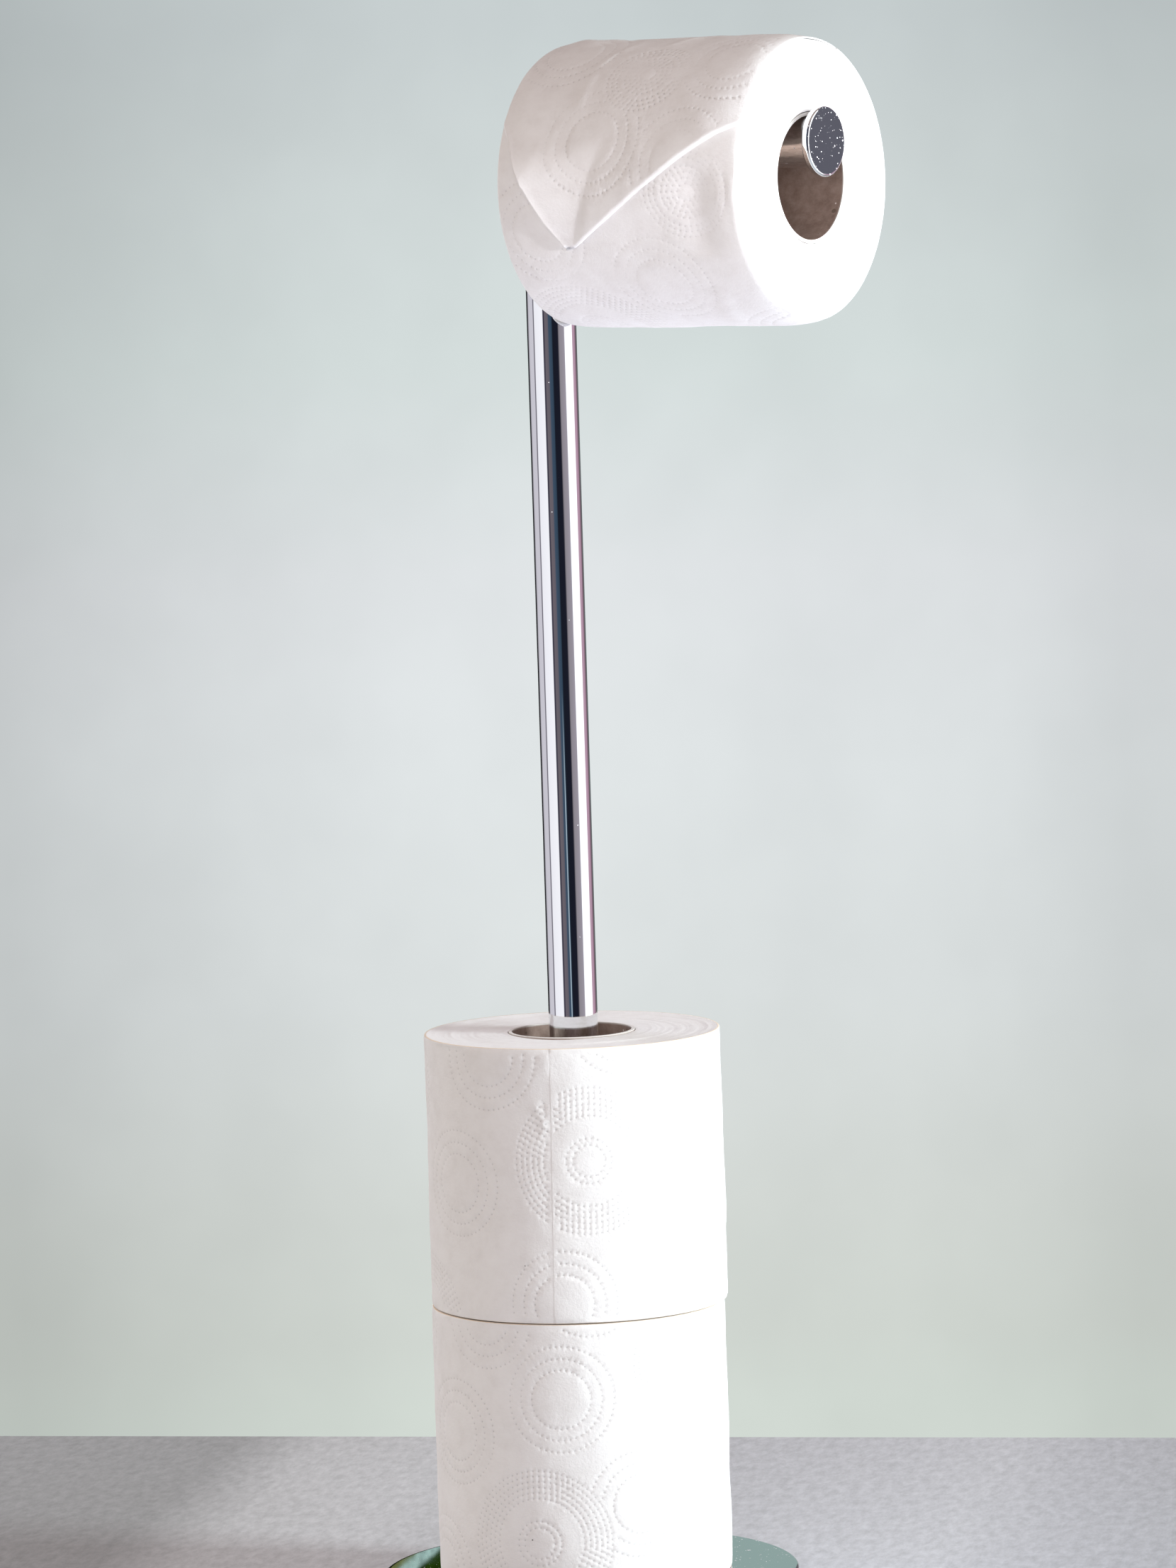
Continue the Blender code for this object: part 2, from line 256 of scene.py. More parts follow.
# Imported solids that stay: material, nodes, dark and light tone, scale of the clouds, roughness,
# bump, how metallic, and specks with their colour
hidden_looks = (
    ("black_foam", ("base_pad",), (0.018, 0.018, 0.02), (0.045, 0.045, 0.048), 420, 0.85,
     (0.8, 0.0004), 0.0, ((0.0012, 0.0004, 0.7), (0.008, 0.008, 0.009))),
    ("cast_iron", ("base_weight",), (0.06, 0.058, 0.058), (0.13, 0.125, 0.122), 120, 0.62,
     (0.7, 0.0005), 0.0, ((0.009, 0.0022, 0.4), (0.16, 0.085, 0.045))),
    ("zinc_plated", ("base_bolt", "post_insert", "post_top_insert", "arm_stud"),
     (0.58, 0.57, 0.53), (0.72, 0.72, 0.71), 240, 0.32,
     (0.25, 0.0002), 1.0, ((0.006, 0.001, 0.3), (0.45, 0.42, 0.33))),
    ("grey_rubber", ("base_washer",), (0.035, 0.035, 0.036), (0.07, 0.07, 0.07), 300, 0.7,
     (0.4, 0.0002), 0.0, None),
)

# Holder
seat_gap = 0.0003
tube_wall = 0.001
tube_edge = 0.0003
tube_sides = 144
bend_radius = 0.0365
bend_steps = 48
base_edge_radius = 0.0022
base_sheet = 0.0009
hem_clearance = 0.0008
flat_margin = 0.0003
bolt_hole_radius = 0.0043
base_sides = 240
end_disc_edge_radius = 0.0009
end_disc_boss_length = 0.012
end_disc_chamfer = 0.0005
disc_sides = 144
edge_steps, base_edge_steps, hem_steps = 10, 14, 6

# Edges sharper than this many degrees stay hard, on metal and card, on rolls and on the sheet
hard_edge, roll_edge, sheet_edge = 40, 60, 70

# Roll in use and its last sheet. Angles go round the arm from straight down, 90 degrees is +Y
sheet_width = 0.1
arm_roll_radius = 0.051
last_sheet_length = 0.125
last_sheet_thickness = 0.0005
last_sheet_inset = 0.0006
ply_run = 0.0005
arm_winding_step = last_sheet_thickness + seat_gap
tip_angle = radians(296)
perforation_angle = tip_angle - last_sheet_length / arm_roll_radius
arm_sag = 0.0015
arm_overhang = (0.0009, 0.0004)

# Where it slumps at its right end: degrees round it, half width, run and drop
arm_slumps = ((236, 14, 0.016, 0.0028), (206, 22, 0.006, 0.001), (340, 24, 0.014, 0.0013))

# The last sheet laid flat: its long edges, and its folds, each from its shoulder to the tip
fold_height = 0.0445
tip_width = 0.004
tip_place_share = 0.29
tip_slant = 0.001
sheet_low, sheet_high = last_sheet_inset, sheet_width - last_sheet_inset
shoulder = last_sheet_length - fold_height
tip_low = sheet_width * tip_place_share - tip_width / 2
left_fold = ((shoulder, sheet_low), (last_sheet_length, tip_low))
right_fold = ((shoulder, sheet_high), (last_sheet_length - tip_slant, tip_low + tip_width))
notch_depth, notch_shift = 0.0016, 0.0004

# Its points: on the sides, folds, tip and end, beside the folds and sides, and how far inside
# the edges grid, dots and the rows of its underside stay
side_points, end_points = 52, 98
left_points, right_points = 64, 96
tip_points, notch_points = 3, 4
fold_steps = (0.00006, 0.0002, 0.00042, 0.0007, 0.00105, 0.0015)
side_steps = (0.0003, 0.0009, 0.0016, 0.0025)
tip_margin = 0.0022
grid_margin, dot_margin, under_margin = 0.0019, 0.0022, 0.002
under_rows, under_columns = 24, 30

# The fold behind ends in a crease, and its left part stands up from the roll: how far before
# each starts and its run, then heights. Beads are height, distance from the line and width.
crease_top = (radians(254) - perforation_angle) * arm_roll_radius
crease = ((crease_top, 0.0446), (last_sheet_length - 0.002, 0.031))
crease_lead, crease_run = 0.005, 0.016
crease_depth = 0.0005
crease_reach_left, crease_reach_right = 0.003, 0.008
crease_bead = (0.00016, 0.0046, 0.0028)
facet_rise, facet_run, facet_width = 0.0048, 0.012, 0.024
fold_lead, fold_run = 0.016, 0.03
left_fold_height, left_fold_fade = 0.0006, 0.011
right_fold_height, right_fold_fade = 0.001, 0.012
fold_bead = (0.00035, 0.0009, 0.0007)
fold_edge_width = 0.0013
fold_edge_share = 0.1
fold_edge_lead = 0.001

# The roll's ridge under the right fold: height, width outside and under the sheet, then shares
# of the fold before which it starts, over which it rises, where it sinks, and where it ends
tent_height = 0.002
tent_outside, tent_inside = 0.009, 0.015
tent_lead, tent_rise = 0.02, 0.35
tent_top, tent_fall, tent_fallen = 0.55, 0.6, 0.75
tent_end = 1.3

# Rolls. An edge is run along the axis and drop of the rim, then of its wide shoulder. Press is
# the mean and the swing of what wear has left of the embossing.
core_inner_radius = 0.022
core_wall = 0.0012
core_sides = 144
core_rings = 50
paper_bore_radius = 0.0235
rim_points = 480
row_height = 0.001
end_rings = 44
side_margin = 0.001
end_insets = (0.00008, 0.0003)
rim_shares = (0.6, 0.3, 0.1, 0.0)
# Rim rings nearer the edge than this share get the painted warm shade
rim_painted_shade_share = 0.2
arm_seed = 11.0
arm_edge = (0.0018, 0.0008, 0.014, 0.0012)
arm_press = (0.55, 0.75)
spare_looks = dict(
    direction=1,
    step=0.00007,
    gap=0.00008,
    slant=radians(1.3),
    edge=(0.0007, 0.0003, 0.004, 0.0002),
    overhang=(0.00012, 0.00012),
    press=(0.85, 0.35),
    # The spare rolls get painted warm shade at their rims
    paints_rim_shade=True,
)
rolls = {
    "lower_spare": dict(spare_looks, radius=0.0539, end_angle=radians(118), seed=0.0),
    "upper_spare": dict(spare_looks, radius=0.0544, end_angle=radians(-65), seed=3.0),
    "arm_roll": dict(
        radius=arm_roll_radius,
        end_angle=perforation_angle,
        direction=-1,
        step=arm_winding_step,
        gap=ply_run,
        edge=arm_edge,
        overhang=arm_overhang,
        press=arm_press,
        seed=arm_seed,
        sags=True,
    ),
}

# Plies of a roll's ends: grain, how fast they change round the end, and depth. Then the size
# and depth of the ends' waves, the share of all this at the rim, and where it is full
end_plies = ((0.00055, 0.9, 0.00021), (0.0028, 0.7, 0.0002))
end_wave_size, end_wave_depth = 0.022, 0.00022
rim_layer_share = 0.2
layer_run = 0.006

# Soft creases of each paper, each from one place to another, as degrees round the roll and
# metres along it, then its half width and height
roll_creases = {
    "lower_spare": (
        ((-55, 0.096), (-57, 0.07), 0.0022, 0.00018),
        ((-112, 0.03), (-92, 0.008), 0.005, 0.0003),
    ),
    "upper_spare": (
        ((-66.5, 0.099), (-67.0, 0.09), 0.0012, 0.00022),
        ((-72.0, 0.081), (-66.5, 0.07), 0.0014, 0.00028),
        ((-70.0, 0.064), (-67.0, 0.076), 0.001, 0.0002),
        ((-125, 0.06), (-118, 0.025), 0.005, 0.0003),
    ),
    "arm_roll": (
        ((299, 0.0644), (316, 0.0833), 0.004, 0.0004),
        ((316, 0.0833), (346, 0.077), 0.0035, 0.0006),
        ((262, 0.0835), (300, 0.0845), 0.007, -0.0015),
        ((262, 0.0955), (291, 0.0965), 0.0012, -0.00025),
        ((310, 0.05), (335, 0.057), 0.004, 0.00045),
        ((318, 0.02), (338, 0.033), 0.0045, -0.0004),
    ),
    "arm_roll_sheet": (
        ((196, 0.0395), (206, 0.0346), 0.0014, 0.00035),
        ((206, 0.0346), (217, 0.0318), 0.0014, 0.00045),
        ((217, 0.0318), (239, 0.0315), 0.0016, 0.00045),
        ((187, 0.06), (201, 0.0525), 0.0013, 0.00035),
        ((225, 0.07), (262, 0.096), 0.0045, 0.0005),
        ((244, 0.056), (262, 0.062), 0.0035, 0.0003),
        ((180, 0.004), (196, 0.02), 0.004, 0.0006),
        ((176, 0.02), (188, 0.036), 0.003, -0.0005),
    ),
}

# The paper's waves: size and height
soft_waves = ((0.026, 0.0004), (0.0085, 0.00016), (0.0031, 0.00005))

# Embossing. Medallions that are seen: degrees round the roll, metres along it, and their kind.
# A lattice from the first of them fills the rest of the roll.
RINGS, DENSE, WHORL = 0, 1, 2
medallion_pitch = 0.052
medallion_turn = radians(16)
medallion_spacing = 0.8 * medallion_pitch
seen_medallions = {
    "lower_spare": (
        (-73.3, 0.0198, DENSE),
        (-95.9, 0.1023, RINGS),
        (-113.1, 0.0579, RINGS),
        (-64.0, 0.0726, RINGS),
        (-52.2, 0.1148, RINGS),
        (-33.0, 0.033, RINGS),
    ),
    "upper_spare": (
        (-50.9, 0.059, DENSE),
        (-91.2, 0.0967, RINGS),
        (-61.2, 0.007, RINGS),
        (-107.9, 0.0494, RINGS),
    ),
    "arm_roll": (
        (313.5, 0.0615, RINGS),
        (288.9, 0.0156, RINGS),
        (274.0, 0.08, WHORL),
        (344.0, 0.02, DENSE),
    ),
    "arm_roll_sheet": (
        (222.0, 0.0552, WHORL),
        (252.5, 0.0407, RINGS),
        (205.0, 0.016, RINGS),
        (214.0, 0.088, RINGS),
        (262.0, 0.078, RINGS),
    ),
}
medallion_radii = (
    (0.0108, 0.015, 0.0194),
    (0.0058, 0.0082, 0.0165, 0.0186, 0.0206, 0.0227, 0.0247, 0.0266),
    (0.0032, 0.0052, 0.0072, 0.0092, 0.0122, 0.0142, 0.0162),
)
medallion_reach = medallion_radii[DENSE][-1]
crown_radii = (0.0108, 0.0135, 0.0024)
crown_height = 0.00022
dot_pitch = 0.00215
dot_spacing = 0.7 * dot_pitch
dot_radius = 0.00048
dot_depth = 0.0004
dot_sides = 6
dot_clearance = 0.0011
wear_size = 0.016
wear_shift = 3
least_press = 0.05
cell = 0.0015


# Camera and stage

def beside_camera(turn, distance, height):
    """A point round the upright, turned in degrees from the camera's direction to its right."""
    angle = camera_azimuth + radians(turn)
    return Vector((distance * sin(angle), -distance * cos(angle), height))


def scene_object(name, data):
    item = bpy.data.objects.new(name, data)
    bpy.context.scene.collection.objects.link(item)
    return item


def make_camera():
    data = bpy.data.cameras.new("camera")
    data.lens = camera_lens
    data.sensor_width = camera_sensor
    camera = scene_object("camera", data)
    camera.matrix_world = (
        Matrix.Translation(beside_camera(0, camera_distance, camera_height))
        @ Matrix.Rotation(camera_azimuth - camera_yaw, 4, "Z")
        @ Matrix.Rotation(pi / 2 - camera_pitch, 4, "X")
        @ Matrix.Rotation(camera_roll, 4, "Z")
    )
    bpy.context.scene.camera = camera


def linear(colour):
    """Screen values from 0 to 255 as the linear colour that a shader takes."""
    shares = [value / 255 for value in colour]
    return tuple(
        share / 12.92 if share <= 0.04045 else ((share + 0.055) / 1.055) ** 2.4
        for share in shares
    )


def hide_from(item, *rays):
    for ray in rays:
        setattr(item, "visible_" + ray, False)


def make_floor():
    look = Graph("pale_table")
    stretched = look.add("Mapping", {"Vector": look.place, "Scale": grain_stretch})
    grain = look.noise(*floor_grain, place=stretched.outputs["Vector"])
    # Painted shade across the table, darker towards both sides
    shade = look.across(floor_reach, [
        (side, (grey, grey, grey * cold)) for side, grey, cold in floor_painted_shades
    ])
    colour = look.times(look.ramp(grain, grain_tones), shade)
    look.shade({"Base Color": colour, "Roughness": floor_roughness})
    edges = ((floor_before, 0), (-floor_behind, 0), (-floor_behind - apron_length, -apron_drop))
    corners = [
        (place, side, height)
        for place, height in edges
        for side in (-floor_half_width, floor_half_width)
    ]
    floor = mesh_object("floor", corners, [(0, 1, 3, 2), (2, 3, 5, 4)], look.material)
    floor.data.shade_flat()
    floor.matrix_world = stage_turn @ Matrix.Rotation(floor_turn, 4, "Z")


def drum(name, radius, bottom, top, material):
    """An open upright cylinder of the stage."""
    ring = circle(radius, drum_sides)
    points = [(*spot, height) for height in (bottom, top) for spot in ring]
    faces = skin([range(drum_sides), range(drum_sides, 2 * drum_sides)])
    item = mesh_object(name, points, faces, material)
    item.matrix_world = stage_turn
    return item


def make_wall():
    look = Graph("pale_wall")
    # The glowing wall carries painted light, brightest in the middle of its height, and painted
    # shade towards its sides
    tones = look.ramp(
        look.span(look.split()[2], wall_foot, wall_head),
        [(share, linear(colour)) for share, colour in wall_tones],
    )
    shade = look.across(wall_reach, [(side, (grey,) * 3) for side, grey in wall_painted_shades])
    mottle = look.span(look.noise(*wall_clouds), 0.3, 0.7, *wall_mottle)
    look.glow(look.times(tones, shade), mottle)
    wall = drum("wall", wall_radius, wall_bottom, wall_top, look.material)
    hide_from(wall, "diffuse", "glossy", "shadow")


def make_surround():
    """What the chrome mirrors: a drum of light and dark bands that only reflections see."""
    look = Graph("surround_bands")
    x, y, z = look.split()

    def turned_by(angle):
        return (angle + 180) / 360

    turn = look.span(look.calculate("ARCTAN2", y, x), -pi, pi)
    bands = look.ramp(turn, [(turned_by(angle), colour) for angle, colour in mirrored_bands])
    for low, high, soft, heights, colour in drum_patches:
        here = look.span(z, *heights)
        for outer, inner in ((low - soft, low), (high + soft, high)):
            side = look.span(turn, turned_by(outer), turned_by(inner))
            here = look.product(here, side)
        bands = look.blend(here, bands, colour)
    foot = look.product(look.span(z, *foot_heights), look.span(y, *foot_places))
    bands = look.blend(foot, bands, foot_tone)

    leaf_start = leaf_bands[0][0]
    climb = look.calculate("MULTIPLY_ADD", z, leaf_climb, y)
    lift = leaf_climb * leaf_height
    leaf = look.ramp(
        look.span(climb, leaf_start + lift, lift),
        [(1 - place / leaf_start, colour) for place, colour in leaf_bands],
    )
    blotches = look.span(look.noise(*leaf_blotches), 0.35, 0.65, *leaf_mottle)
    view = look.blend(look.span(y, *leaf_end), look.times(leaf, blotches), leaf_bands[-1][1])
    low_behind = look.product(look.span(x, *leaf_depths), look.span(z, *leaf_heights))
    look.glow(look.blend(low_behind, bands, view))

    surround = drum("surround", surround_radius, surround_bottom, surround_top, look.material)
    hide_from(surround, "camera", "diffuse", "shadow", "transmission")


def make_light(name, kind, place, target, power, colour, **settings):
    data = bpy.data.lights.new(name, kind)
    data.energy = power
    data.color = colour
    for setting, value in settings.items():
        setattr(data, setting, value)
    light = scene_object(name, data)
    light.location = place
    towards = Vector(target) - light.location
    light.rotation_euler = towards.to_track_quat("-Z", "Y").to_euler()
    hide_from(light, "glossy")
    return light


def make_lights():
    for name, spot, (width, height), power, colour, target in area_lights:
        place = beside_camera(*spot)
        target = target or place + Vector((0, 0, 1))
        light = make_light(
            name, "AREA", place, target, power, colour,
            shape="RECTANGLE", size=width, size_y=height,
        )
        hide_from(light, "camera")
    for name, place, target, power, colour, cone, softness in beams:
        make_light(
            name, "SPOT", place, target, power, colour,
            spot_size=radians(cone), spot_blend=1.0, shadow_soft_size=softness,
        )
    world = bpy.data.worlds.new("studio")
    bpy.context.scene.world = world
    world.use_nodes = True
    air = world.node_tree.nodes["Background"]
    air.inputs["Color"].default_value = (*air_colour, 1)


# Shapes

def polar(radius, angle, *height):
    """A point at that angle, flat or at a height."""
    return (radius * cos(angle), radius * sin(angle), *height)


def circle(radius, count, middle=(0, 0), offset=0.0):
    """Evenly spaced flat points round a middle."""
    ring = [polar(radius, tau * (k + offset) / count) for k in range(count)]
    return [(middle[0] + x, middle[1] + y) for x, y in ring]


def arc(centre, radius, start, end, steps):
    """Points of a round edge as (radius, height) pairs, with its angles in degrees."""
    angles = [radians(start + (end - start) * k / steps) for k in range(steps + 1)]
    return [(centre[0] + x, centre[1] + y) for x, y in (polar(radius, a) for a in angles)]


def strip(one, other):
    """Faces between two rows of point numbers, which may share points."""
    return [
        tuple(dict.fromkeys((one[k], one[k + 1], other[k + 1], other[k])))
        for k in range(len(one) - 1)
    ]


def skin(loops):
    """Faces between each closed loop of point numbers and the next."""
    return [
        face
        for one, other in zip(loops, loops[1:])
        for face in strip([*one, one[0]], [*other, other[0]])
    ]


def mesh_object(name, points, faces, material, sharp=None):
    """A smooth mesh. A solid one has a number of degrees above which its edges stay hard."""
    mesh = bpy.data.meshes.new(name)
    mesh.from_pydata(points, [], faces)
    mesh.update()
    mesh.shade_smooth()
    if sharp:
        shape = bmesh.new()
        shape.from_mesh(mesh)
        bmesh.ops.recalc_face_normals(shape, faces=shape.faces)
        shape.to_mesh(mesh)
        shape.free()
        mesh.set_sharp_from_angle(angle=radians(sharp))
    mesh.materials.append(material)
    return scene_object(name, mesh)


def turned(name, profile, sides, material):
    """A (radius, height) profile spun round the height axis, closed unless it starts on it."""
    points, loops = [], []
    for radius, height in profile:
        start = len(points)
        if radius == 0:
            loops.append([start] * sides)
            points.append((0, 0, height))
        else:
            loops.append(range(start, start + sides))
            points += [(*spot, height) for spot in circle(radius, sides)]
    if profile[0][0] > 0:
        loops.append(loops[0])
    return mesh_object(name, points, skin(loops), material, hard_edge)


def dress(piece, body, node):
    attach(piece, body)
    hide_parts(node)


# Materials

class Graph:
    """A material's nodes. Methods add a node and return its result, as a socket.

    Values are numbers, colours or such sockets.
    """

    def __init__(self, name):
        self.material = bpy.data.materials.new(name)
        self.material.use_nodes = True
        self.tree = self.material.node_tree
        self.shader = self.tree.nodes["Principled BSDF"]
        self.place = self.add("TexCoord", {}).outputs["Object"]

    def put(self, node, inputs):
        for name, value in inputs.items():
            socket = node.inputs[name]
            if isinstance(value, bpy.types.NodeSocket):
                self.tree.links.new(value, socket)
            elif socket.type == "RGBA":
                socket.default_value = (*value, 1)
            else:
                socket.default_value = value

    def add(self, kind, inputs, **settings):
        node = self.tree.nodes.new("ShaderNode" + kind)
        for name, value in settings.items():
            setattr(node, name, value)
        self.put(node, inputs)
        return node

    def shade(self, inputs):
        self.put(self.shader, inputs)

    def glow(self, colour, strength=1.0):
        """Makes the material give light and nothing else."""
        self.tree.nodes.remove(self.shader)
        light = self.add("Emission", {"Color": colour, "Strength": strength})
        self.put(self.tree.nodes["Material Output"], {"Surface": light.outputs[0]})

    def noise(self, scale, detail, roughness=0.5, place=None):
        inputs = {"Scale": scale, "Detail": detail, "Roughness": roughness}
        inputs["Vector"] = place or self.place
        return self.add("TexNoise", inputs).outputs["Fac"]

    def split(self):
        return self.add("SeparateXYZ", {0: self.place}).outputs

    def calculate(self, operation, *values):
        return self.add("Math", dict(enumerate(values)), operation=operation).outputs[0]

    def product(self, one, other):
        return self.calculate("MULTIPLY", one, other)

    def times(self, colour, factor):
        factors = {0: colour, 1: factor}
        return self.add("VectorMath", factors, operation="MULTIPLY").outputs[0]

    def span(self, value, low, high, to_low=0.0, to_high=1.0):
        """The value moved from one range to another, and held within it."""
        inputs = {"Value": value, "From Min": low, "From Max": high}
        inputs |= {"To Min": to_low, "To Max": to_high}
        return self.add("MapRange", inputs).outputs[0]

    def ramp(self, value, stops):
        node = self.add("ValToRGB", {"Fac": value})
        elements = node.color_ramp.elements
        elements.remove(elements[-1])
        elements[0].position = stops[0][0]
        for position, _ in stops[1:]:
            elements.new(position)
        for element, (_, colour) in zip(elements, stops):
            element.color = (*colour, 1)
        return node.outputs["Color"]

    def across(self, reach, stops):
        """Colours at places to the right of a stage piece's middle."""
        side = self.span(self.split()[1], -reach, reach)
        return self.ramp(side, [
            ((place + reach) / (2 * reach), colour) for place, colour in stops
        ])

    def blend(self, share, one, other):
        """Two colours blended. The node's inputs 6 and 7 and its output 2 are its colours."""
        return self.add("Mix", {0: share, 6: one, 7: other}, data_type="RGBA").outputs[2]

    def specks(self, spacing, size, share):
        """Round specks, 1 on them and 0 between."""
        cells = self.add("TexVoronoi", {"Vector": self.place, "Scale": 1 / spacing}).outputs
        chance, strength, _ = self.add("SeparateColor", {0: cells["Color"]}).outputs
        here = self.product(self.span(chance, 1 - share, 1.0), strength)
        reach = self.calculate("MULTIPLY_ADD", cells["Distance"], -spacing / size, here)
        return self.span(reach, 0.0, 0.15)

    def bump(self, height, strength, distance):
        inputs = {"Height": height, "Strength": strength, "Distance": distance}
        self.shade({"Normal": self.add("Bump", inputs).outputs["Normal"]})


def chrome(name, dust_layers):
    """Polished chrome with faint wiping marks, and dust in patches."""
    look = Graph(name)
    colour, metal = chrome_colour, 1.0
    gloss = look.span(look.noise(*wiping_marks), 0.35, 0.75, *chrome_gloss)
    patches = look.span(look.noise(*dusty_patches), 0.38, 0.62, 0.25, 1)
    for layer in dust_layers:
        dust = look.product(look.specks(*layer), patches)
        colour = look.blend(dust, colour, dust_colour)
        gloss = look.calculate("MAXIMUM", gloss, look.span(dust, 0, 1, 0, dust_roughness))
        metal = look.product(metal, look.span(dust, 0, 1, 1, 0))
    look.shade({"Base Color": colour, "Metallic": metal, "Roughness": gloss})
    return look.material


def mottled(name, dark, light, scale, roughness, bump, metallic, specks):
    """A plain rough or plated material: two tones, uneven gloss and a fine grain."""
    look = Graph(name)
    clouds = look.noise(scale, 6, 0.6)
    colour = look.ramp(clouds, ((0.32, dark), (0.68, light)))
    if specks:
        colour = look.blend(look.specks(*specks[0]), colour, specks[1])
    gloss = look.span(clouds, 0.3, 0.7, roughness * 0.85, min(1, roughness * 1.2))
    look.shade({"Base Color": colour, "Metallic": metallic, "Roughness": gloss})
    look.bump(look.noise(scale * 9, 5, 0.65), *bump)
    return look.material


def paper(name):
    """Soft white tissue: crepe and fibres, faint shades, painted shade in the pressed dots, and
    painted warm shade on the spare rolls' rims.
    """
    look = Graph(name)
    colour = look.ramp(look.noise(*tissue_shades), tissue_tones)
    colour = look.blend(look.specks(*tissue_flecks), colour, fleck_colour)
    pressed = look.add("Attribute", {}, attribute_name="pressed").outputs["Fac"]
    # Painted warm shade on the rims that the attribute marks with -1
    colour = look.blend(look.span(pressed, 0, -1), colour, rim_painted_shade_colour)
    # Painted shade in the pressed dots, darker the deeper they are
    colour = look.times(colour, look.span(pressed, 0, 1, 1.0, dot_painted_shade))
    look.shade({"Base Color": colour, "Roughness": 0.95, "Specular IOR Level": 0.12})
    look.bump(look.noise(*tissue_crepe), *crepe_bump)
    return look.material


def card(name):
    """Grey-brown core card: fibres, specks, a seam that climbs round it, and pale cut ends."""
    look = Graph(name)
    x, y, z = look.split()
    colour = look.ramp(look.noise(*card_shades), card_tones)
    for layer, tone in card_specks:
        colour = look.blend(look.specks(*layer), colour, tone)
    turn = look.calculate("ARCTAN2", y, x)
    climb = look.calculate("MULTIPLY_ADD", z, tau / seam_pitch, turn)
    seam = look.span(look.calculate("COSINE", climb), seam_edge, 1.0, 0.0, seam_share)
    colour = look.blend(seam, colour, seam_colour)
    for inner, outer in ((cut_depth, 0.0), (sheet_width - cut_depth, sheet_width)):
        colour = look.blend(look.span(z, inner, outer), colour, cut_colour)
    look.shade({"Base Color": colour, "Roughness": 0.9, "Specular IOR Level": 0.2})
    look.bump(look.noise(*card_grain), *card_bump)
    return look.material


def finish_hidden_nodes():
    """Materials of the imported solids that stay, inside the base and at the tubes' joints."""
    for name, nodes, *look in hidden_looks:
        material = mottled(name, *look)
        for node in nodes:
            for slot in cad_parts[node].material_slots:
                slot.material = material


# Holder

def make_post(material):
    low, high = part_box("post_tube")
    radius, bottom, top = high.x, low.z, high.z
    profile = [
        (radius - tube_wall, bottom),
        (radius - tube_edge, bottom),
        (radius, bottom + tube_edge),
        (radius, top - tube_edge),
        (radius - tube_edge, top),
        (radius - tube_wall, top),
    ]
    dress(turned("post", profile, tube_sides, material), "stand", "post_tube")


def make_arm(material):
    low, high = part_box("arm_tube")
    radius = -low.x
    axis_height = high.z - radius
    centre = Vector((bend_radius, 0, axis_height - bend_radius))
    stations = [(Vector((0, 0, low.z)), 0)]
    for k in range(bend_steps + 1):
        turn = pi / 2 * k / bend_steps
        offset = Vector((-cos(turn), 0, sin(turn))) * bend_radius
        stations.append((centre + offset, turn))
    stations.append((Vector((high.x, 0, axis_height)), pi / 2))
    walls = [(stations[0], radius - tube_edge)]
    walls += [(station, radius) for station in stations[1:]]
    walls += [(station, radius - tube_wall) for station in reversed(stations)]
    points = []
    for (place, turn), size in walls:
        across = Vector((cos(turn), 0, -sin(turn)))
        points += [place + x * across + Vector((0, y, 0)) for x, y in circle(size, tube_sides)]
    loops = [range(k, k + tube_sides) for k in range(0, len(points), tube_sides)]
    arm = mesh_object("arm", points, skin([*loops, loops[0]]), material, hard_edge)
    dress(arm, "stand", "arm_tube")


def make_end_disc(material):
    low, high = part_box("arm_end_disc")
    radius = high.y
    thickness = high.x - low.x - end_disc_boss_length
    plug_radius = -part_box("arm_tube")[0].x - tube_wall - seat_gap
    edge = end_disc_edge_radius
    boss_end = -end_disc_boss_length
    profile = [
        (0, boss_end),
        (plug_radius - end_disc_chamfer, boss_end),
        (plug_radius, boss_end + end_disc_chamfer),
        (plug_radius, 0),
        *arc((radius - edge, edge), edge, -90, 0, edge_steps),
        *arc((radius - edge, thickness - edge), edge, 0, 90, edge_steps),
        (radius - edge - flat_margin, thickness),
        (0, thickness),
    ]
    disc = turned("end_disc", profile, disc_sides, material)
    disc.matrix_world = (
        Matrix.Translation((high.x - thickness, 0, (low.z + high.z) / 2))
        @ Matrix.Rotation(pi / 2, 4, "Y")
    )
    dress(disc, "stand", "arm_end_disc")


def make_base(material):
    _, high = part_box("base_cover")
    radius, top = high.x, high.z
    edge = base_edge_radius
    inner_radius, inner_top, inner_edge = (size - base_sheet for size in (radius, top, edge))
    profile = [
        (bolt_hole_radius, inner_top),
        (bolt_hole_radius, top),
        (radius - edge - flat_margin, top),
        *arc((radius - edge, top - edge), edge, 90, 0, base_edge_steps),
        (radius, hem_clearance),
        (inner_radius, hem_clearance),
        *arc((inner_radius - inner_edge, inner_top - inner_edge), inner_edge, 0, 90, hem_steps),
    ]
    dress(turned("base", profile, base_sides, material), "stand", "base_cover")


# Embossed paper

def medallions(length, around, seen):
    """Middles of the embossed medallions on a flat sheet, and their kinds.

    The seen ones come again where the sheet has gone once around its roll.
    """
    margin = medallion_reach
    known = [
        (along + turns * around, across, kind)
        for along, across, kind in seen
        for turns in (-1, 0, 1)
        if -margin < along + turns * around < length + margin
    ]
    one = polar(medallion_pitch, medallion_turn)
    other = polar(medallion_pitch, medallion_turn + pi / 3)
    reach = int(2 * length / medallion_pitch) + 2
    found = list(known)
    for i in range(-reach, reach + 1):
        for j in range(-reach, reach + 1):
            along = seen[0][0] + i * one[0] + j * other[0]
            across = seen[0][1] + i * one[1] + j * other[1]
            if (
                -margin < along < length + margin
                and -margin < across < sheet_width + margin
                and all(dist((along, across), spot[:2]) > medallion_spacing for spot in known)
            ):
                found.append((along, across, DENSE if (i - j) % 3 == 0 else RINGS))
    return found


